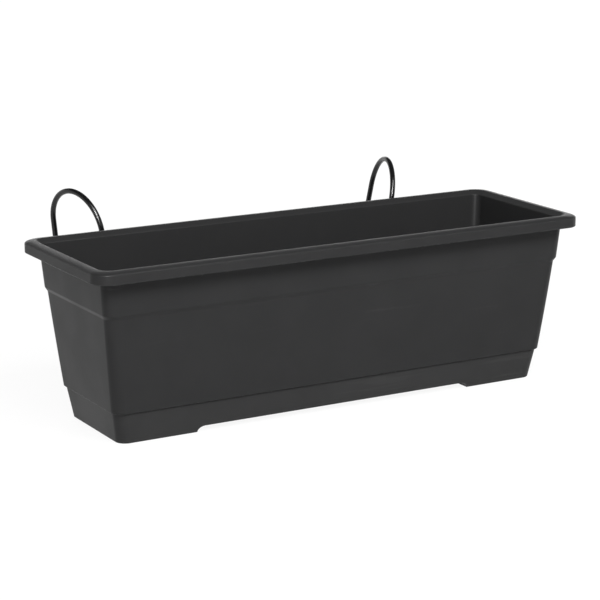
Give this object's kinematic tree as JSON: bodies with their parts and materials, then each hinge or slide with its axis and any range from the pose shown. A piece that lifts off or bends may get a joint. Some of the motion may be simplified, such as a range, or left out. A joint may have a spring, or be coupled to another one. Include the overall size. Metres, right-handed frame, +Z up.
{
  "type": "window box planter",
  "caption": "Long tapered plastic trough with a crowned rim, a clip-on drip tray on end feet, and swivelling wire hooks that hang it over a railing.",
  "frame": {"origin": "on the ground, under the middle of the whole part, hooks included; the trough's own middle line lies 50.4 mm nearer the front, at Y = -0.0504", "axes": "+X along the trough, +Y towards the railing behind it, +Z up"},
  "size_m": [0.5, 0.2692, 0.1898],
  "materials": {
    "trough_plastic": "satin moulded anthracite",
    "tray_plastic": "satin moulded anthracite",
    "hook_coating": "gloss black coated steel wire"
  },
  "bodies": {
    "drip_tray": {"drip_tray": "tray_plastic"},
    "trough": {"trough": "trough_plastic"},
    "hook_left": {"hook_left": "hook_coating"},
    "hook_right": {"hook_right": "hook_coating"}
  },
  "joints": [
    {"name": "trough_lift", "type": "slide", "parent": "drip_tray", "child": "trough", "axis": [0, 0, 1], "range_m": [0, 0.06]},
    {"name": "hook_left_swivel", "type": "hinge", "parent": "trough", "child": "hook_left", "pos_m": [-0.147, 0.0279, 0.146], "axis": [0, 0, 1], "range_deg": [-80, 50]},
    {"name": "hook_right_swivel", "type": "hinge", "parent": "trough", "child": "hook_right", "pos_m": [0.147, 0.0279, 0.146], "axis": [0, 0, 1], "range_deg": [-50, 80]}
  ]
}
